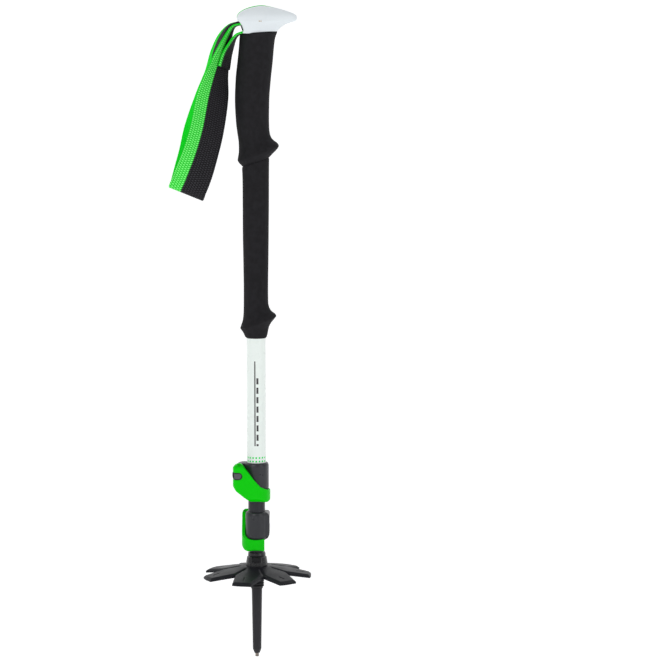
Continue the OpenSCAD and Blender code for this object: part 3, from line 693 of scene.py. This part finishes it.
def crestInlay():
    # a shallow ribbon laid over the crest's own curve, fading out towards the beak
    rows = np.array(head["rows"])
    keep = rows[:, 0] >= inlay["rearFrom"]
    z, x = rows[keep, 0], rows[keep, 1]
    ahead = rows[::-1][rows[::-1, 0] >= inlay["frontFrom"]]
    line = np.concatenate([np.stack([x, z], -1), [inlay["crest"]], np.stack([ahead[:, 2], ahead[:, 0]], -1)])
    length = np.concatenate([[0], np.cumsum(np.linalg.norm(np.diff(line, axis=0), axis=1))])
    at = np.linspace(0.3, length[-1] - 0.5, 90)
    px, pz = smoothRow(at, length, line[:, 0]), smoothRow(at, length, line[:, 1])
    dx, dz = np.gradient(px), np.gradient(pz)
    out = np.stack([-dz, dx], -1) / np.hypot(dx, dz)[:, None]
    out *= np.sign(out[:, 1:] + 1e-9)
    share = at / at[-1]
    half = head["inlayHalf"] * np.minimum(1, np.sin(np.pi * np.clip(share, 0.02, 0.98)) ** 0.35)
    proud = inlay["proud"] * (1 - fade(share, 0.45, 1.0)) + inlay["leastProud"]
    turn = np.linspace(0, 2 * math.pi, 28, endpoint=False)
    across = np.sign(np.cos(turn)) * np.abs(np.cos(turn)) ** 0.6
    up = np.sin(turn)
    lift = np.where(up > 0, up * proud[:, None], up * inlay["deep"])
    sag = -inlay["sag"] * (across[None] * half[:, None]) ** 2 / head["inlayHalf"]
    rings = np.stack([px[:, None] + out[:, :1] * (lift + sag), half[:, None] * across[None],
                      head["foot"] + pz[:, None] + out[:, 1:] * (lift + sag)], -1)
    return ringSolid("crestInlay", rings * mm)


putOn(crestInlay(), finishes["inlayGreen"], "handle", ["head_inlay"])
print("head made")


# webbing: one ribbon section carried along keys of
# (x, y, z above the head's foot, turn, lean, width less the full width)

slopeCos, slopeSin = math.cos(math.radians(head["mouthSlope"])), math.sin(math.radians(head["mouthSlope"]))


def mouthKey(out, up, turn):
    # a key so far out of the mouth from the pin's axis, and so far up across it
    x, z = head["pin"]
    return [x - out * slopeCos - up * slopeSin, 0, z - out * slopeSin + up * slopeCos,
            turn, 90 - head["mouthSlope"], webbing["inHead"] - webbing["wide"]]


strapKeys = {
    "loop": [
        mouthKey(15.5, 3.9, 0), mouthKey(18.6, 3.9, 0), mouthKey(25, 4.1, 3),
        [-24.8, -1, -2.5, 12, 36, -9], [-29.8, -2.5, -18, 25, 22, -6], [-35.2, -5, -37, 36, 14, -2],
        [-39.8, -7, -60, 55, 11, 0], [-45.2, -9, -90, 62, 13, 0], [-52.2, -10, -115, 70, 17, 0],
        [-59.8, -9, -136, 88, 21, 0], [-64.5, -5, -146.5, 90, 22, 0], [-65.5, 0, -149.5, 90, 22, 0],
        [-64.5, 6, -146.5, 90, 22, 0], [-62, 11, -136, 95, 21, 0], [-57.6, 12, -114, 113, 16, 0],
        [-53.8, 12.5, -89, 126, 13, 0], [-48.2, 13, -60, 147, 12, 0], [-42, 10, -38, 158, 14, -2],
        [-37.9, 5, -18, 163, 24, -6], [-32.2, 2, -3.5, 166, 40, -9], [-24.5, 0.5, 7, 175, 58, -11],
        mouthKey(18.6, 6.1, 180), mouthKey(15.5, 6.1, 180)],
    "tail": [
        mouthKey(15.5, -3.9, 0), mouthKey(18.6, -3.9, 0), mouthKey(24.8, -4.4, 2),
        [-21.3, -1, -8, 9, 36, -13], [-26.2, -1, -19, 22, 16, -14], [-29.3, -2.5, -32, 31, 12, -15]],
    "stepsPerKey": 14, "aside": 18,
}


def throughKeys(keys, steps):
    # Catmull-Rom curve through the rows of keys
    keys = np.array(keys, float)
    n = len(keys) - 1
    t = np.linspace(0, n, n * steps + 1)
    i = np.minimum(t.astype(int), n - 1)
    f = (t - i)[:, None]
    p0, p1, p2, p3 = keys[np.maximum(i - 1, 0)], keys[i], keys[i + 1], keys[np.minimum(i + 2, n)]
    return 0.5 * (2 * p1 + f * (p2 - p0) + f ** 2 * (2 * p0 - 5 * p1 + 4 * p2 - p3)
                  + f ** 3 * (3 * p1 - p0 - 3 * p2 + p3))


def ribbon(name, centre, across, wide, thick, shareScale=1.0):
    # section = flat rounded bar: its points run out along one face and back along the other
    run = np.gradient(centre, axis=0)
    run /= np.linalg.norm(run, axis=1)[:, None]
    across = across - (across * run).sum(1)[:, None] * run
    across /= np.linalg.norm(across, axis=1)[:, None]
    out = np.cross(run, across)
    flat = np.linspace(-1, 1, strapKeys["aside"] * 2)
    rim = np.linspace(math.pi / 2, -math.pi / 2, 7)[1:-1]
    side = np.concatenate([flat, np.full(5, 1.0), flat[::-1], np.full(5, -1.0)])
    lift = np.concatenate([np.ones(len(flat)), np.sin(rim), -np.ones(len(flat)), -np.sin(rim)])
    beyond = np.concatenate([np.zeros(len(flat)), np.cos(rim), np.zeros(len(flat)), -np.cos(rim)])
    half = wide / 2 - thick / 2
    reach = side[None] * half[:, None] + beyond[None] * thick / 2
    rings = (centre[:, None] + across[:, None] * reach[..., None]
             + out[:, None] * (lift * thick / 2)[None, :, None])
    along = np.concatenate([[0], np.cumsum(np.linalg.norm(np.diff(centre, axis=0), axis=1))])
    # the 0.2 offset marks the inner face, which the webbing finish leaves without the painted sheen
    u = reach + np.where(np.arange(len(side)) < len(flat) + 3, 200.0, 0)[None]
    uv = np.stack([u, np.repeat(along[:, None], len(side), 1)], -1)
    uv = np.concatenate([uv, uv[:, :1]], 1)
    piece = ringSolid(name, rings * mm, uv * mm, bend=80)
    share = piece.data.attributes.new("share", "FLOAT", "POINT")
    values = np.concatenate([(reach / (wide / 2)[:, None] * shareScale).ravel(), [0, 0]])
    share.data.foreach_set("value", values.astype(np.float32))
    return piece, along[-1]


def keyedRibbon(name, keys, shareScale=1.0):
    rows = throughKeys(keys, strapKeys["stepsPerKey"])
    turn, lean = np.radians(rows[:, 3]), np.radians(rows[:, 4])
    across = np.stack([-np.sin(turn) * np.cos(lean), -np.cos(turn), np.sin(turn) * np.sin(lean)], -1)
    centre = rows[:, :3] + [0, 0, head["foot"]]
    return ribbon(name, centre, across, webbing["wide"] + rows[:, 5], webbing["thick"], shareScale)


strapLoop, loopLength = keyedRibbon("strapLoop", strapKeys["loop"])
# the tail's green edge is mostly tucked under
strapTail, tailLength = keyedRibbon("strapTail", strapKeys["tail"], webbing["tailShare"])
for piece, node in ((strapLoop, "strap_loop"), (strapTail, "strap_tail")):
    putOn(piece, finishes["webbing"], None, [node])
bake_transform(strapLoop)
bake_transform(strapTail)


anchor = {"bow": 3.9, "mouthEnd": -15.6, "bowStart": -0.5, "wide": 23.6, "points": 20}


def anchorLine():
    # from the mouth in above the pin, half round it and out below
    bow = anchor["bow"]
    run = np.linspace(anchor["mouthEnd"], anchor["bowStart"], anchor["points"])
    turn = np.linspace(math.pi / 2, -math.pi / 2, 2 * anchor["points"])
    top = np.stack([run, np.full(len(run), bow)], -1)
    bend = bow * np.stack([np.cos(turn), np.sin(turn)], -1)
    foot = np.stack([run[::-1], np.full(len(run), -bow)], -1)
    return mouthFrame(np.concatenate([top, bend, foot]))


flatLine = anchorLine()
centre = np.stack([flatLine[:, 0], np.zeros(len(flatLine)), flatLine[:, 1]], -1)
strapWrap, wrapLength = ribbon("strapInHead", centre, np.repeat([[0, -1.0, 0]], len(centre), 0),
                               np.full(len(centre), anchor["wide"]), webbing["thick"])
putOn(strapWrap, finishes["webbing"], "handle", ["strap_anchor"])
print("strap made, loop", round(loopLength), "mm")


# basket: a height over the plane in rings and rays, cut by its own outline

basket = {
    "petals": 7, "first": -104.7, "hub": 10.35, "disc": 31.3, "top": 88.5, "flatTo": 13.2, "rim": 81.0,
    "under": 84.0, "underRim": 78.0, "reach": 53.0, "chamfer": 2.1, "drop": 1.3, "rays": 84, "rings": 64,
    "dash": [(38.6, -1.2), (44.2, 0.0)], "dashHalf": 0.75, "dashDeep": 0.55,
    "seamTurn": 27.6, "seamStart": 15, "smoothTo": 13.5, "fullFrom": 18, "underFlat": 14.2,
    "petal": [(28.8, -12.7), (51.0, -9.3), (51.8, -4.6), (52, 0), (51.2, 9.2)],
}


def basketOutline():
    # the petal's corners turned round the axis; one petal's first corner is the notch its neighbour ends in
    one = np.array(basket["petal"])
    turns = np.radians(basket["first"] + 360 / basket["petals"] * np.arange(basket["petals"]))
    c, s = np.cos(turns), np.sin(turns)
    spin = np.stack([np.stack([c, -s], -1), np.stack([s, c], -1)], 1)
    dashes = np.einsum("tab,nb->tna", spin, np.array(basket["dash"]))
    return np.einsum("tab,nb->tna", spin, one).reshape(-1, 2), dashes, turns


def nearness(points, starts, ends):
    # distance from each point to the nearest of the segments
    line = ends - starts
    share = np.clip(((points[:, None] - starts[None]) * line[None]).sum(-1) / (line ** 2).sum(-1)[None], 0, 1)
    return np.linalg.norm(points[:, None] - starts[None] - share[..., None] * line[None], axis=-1).min(1)


def basketPlate():
    # top = cone less a drop that fades in within a chamfer's width of the outline, less the dashes
    # the underside is a plain cone
    b = basket
    outline, dashes, turns = basketOutline()
    starts, ends = outline, np.roll(outline, -1, 0)
    fine = np.linspace(0, 1, b["rays"] * b["petals"] // len(outline) + 2)[None, :-1]
    path = (starts[:, None] * (1 - fine[..., None]) + ends[:, None] * fine[..., None]).reshape(-1, 2)
    share = np.linspace(0, 1, b["rings"])[:, None, None]
    inner = path / np.linalg.norm(path, axis=1)[:, None] * b["hub"]
    flat = inner[None] * (1 - share) + path[None] * share
    far = np.linalg.norm(flat, axis=-1)
    seams = np.radians(b["seamTurn"]) + turns
    seamWay = np.stack([np.cos(seams), np.sin(seams)], -1)
    seamStart, seamEnd = seamWay * b["seamStart"], seamWay * b["disc"]
    plan = flat.reshape(-1, 2)
    gap = nearness(plan, np.concatenate([starts, seamStart]), np.concatenate([ends, seamEnd]))
    gap = gap.reshape(far.shape)
    cone = b["top"] - np.clip((far - b["flatTo"]) / (b["reach"] - b["flatTo"]), 0, 1) * (b["top"] - b["rim"])
    top = cone - b["drop"] * (1 - np.clip(gap / b["chamfer"], 0, 1)) * fade(far, b["smoothTo"], b["fullFrom"])
    groove = nearness(plan, dashes[:, 0], dashes[:, 1]).reshape(far.shape)
    top -= b["dashDeep"] * (1 - fade(groove, b["dashHalf"] - 0.35, b["dashHalf"]))
    slide = np.clip((far - b["underFlat"]) / (b["reach"] - b["underFlat"]), 0, 1)
    under = b["under"] - slide * (b["under"] - b["underRim"])
    upper = np.concatenate([flat, top[..., None]], -1)
    lower = np.concatenate([flat, under[..., None]], -1)
    rings = np.concatenate([upper, lower[::-1]])        # out over the top and back underneath
    n, m = rings.shape[:2]
    i, j = np.meshgrid(np.arange(n), np.arange(m), indexing="ij")
    nextI, nextJ = (i + 1) % n, (j + 1) % m             # closed at the hub, and round it
    faces = np.stack([i * m + j, nextI * m + j, nextI * m + nextJ, i * m + nextJ], -1).reshape(-1, 4)
    return buildMesh("basketPlate", rings.reshape(-1, 3) * mm, faces.tolist(), None, 28)


putOn(basketPlate(), finishes["basketPlastic"], "basket_body", ["basket"])
print("basket made")


# clamp mouldings: the solid's own skin, remade with softened edges

def softCopy(name, node, voxel, rounds):
    # the same shape with every edge rounded, as it leaves a mould
    piece = bpy.data.objects.new(name, cad[node].data.copy())
    bpy.context.scene.collection.objects.link(piece)
    work = bmesh.new()
    work.from_mesh(piece.data)
    bmesh.ops.remove_doubles(work, verts=work.verts, dist=1e-6)
    work.to_mesh(piece.data)
    work.free()
    return reform(piece, voxel, rounds, bend=70)


def clearBore(piece, nut, play=0.22):
    # cuts the round bore for the nut back to its full size, open at the top
    low, high = (np.array(corner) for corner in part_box(nut))
    middle, radius = (low + high) / 2, (high[0] - low[0]) / 2 + play * mm
    x, y = middle[0] + radius * np.cos(ring), middle[1] + radius * np.sin(ring)
    rings = np.stack([np.stack([x, y, np.full(len(ring), z)], -1)
                      for z in (low[2] - 0.05 * mm, high[2] + 12 * mm)])
    cutAway(piece, ringSolid("boreCutter", rings))


clampPieces = {
    "upperLever": ("upper_lever", 0.27, 9, "greenPlastic", "upper_lock_lever", "green_plastic"),
    "lowerLever": ("lower_lever", 0.27, 9, "greenPlastic", "lower_lock_lever", "green_plastic"),
    "upperCollar": ("upper_collar", 0.28, 7, "clampPlastic", "handle", "clamp_plastic"),
    "lowerCollar": ("lower_collar", 0.28, 7, "clampPlastic", "mid_section", "clamp_plastic"),
}
for name, (node, voxel, rounds, finish, body, slot) in clampPieces.items():
    moulding = softCopy(name, node, voxel, rounds)
    if "lever" in node:
        clearBore(moulding, node.replace("lever", "barrel_nut"))
    putOn(moulding, finishes[finish], body, [node])


# floor

backdrop = {"front": -14.0, "bendStart": 3.0, "bend": 2.0, "top": 20.0, "half": 26.0}


def sweptFloor():
    # level in front, then a quarter circle up into a wall behind; low enough for the pole at its full length
    start, bend, half = backdrop["bendStart"], backdrop["bend"], backdrop["half"]
    turn = np.linspace(0, math.pi / 2, 40)
    y = np.concatenate([[backdrop["front"]], start + bend * np.sin(turn), [start + bend]])
    z = np.concatenate([[0.0], bend - bend * np.cos(turn), [backdrop["top"]]])
    z += studio["floorLevel"]
    points = np.stack([np.stack([np.full(len(y), x), y, z], -1) for x in (-half, half)]).reshape(-1, 3)
    i = np.arange(len(y) - 1)
    n = len(y)
    mesh = bpy.data.meshes.new("floor")
    mesh.from_pydata(points.tolist(), [], np.stack([i, i + n, i + n + 1, i + 1], -1).tolist())
    mesh.polygons.foreach_set("use_smooth", np.ones(len(mesh.polygons), bool))
    return bpy.data.objects.new("floor", mesh)


floor = sweptFloor()
bpy.context.scene.collection.objects.link(floor)
floorFinish, floorTree, floorShader = startFinish("paleFloor", studio["floorTone"], 0.8, specular=0.1)
pale = studio["floorTone"]
cloud = noise(floorTree, objectSpace(floorTree), 3, 3)
floorColour = mixColour(floorTree, cloud, tint(pale, 0.995), tint(pale, 1.005))
feed(floorTree, floorShader, {"Base Color": floorColour})
floorShader.inputs["Emission Color"].default_value = (1, 1, 1, 1)
floorShader.inputs["Emission Strength"].default_value = studio["floorGlow"]
floor.data.materials.append(floorFinish)
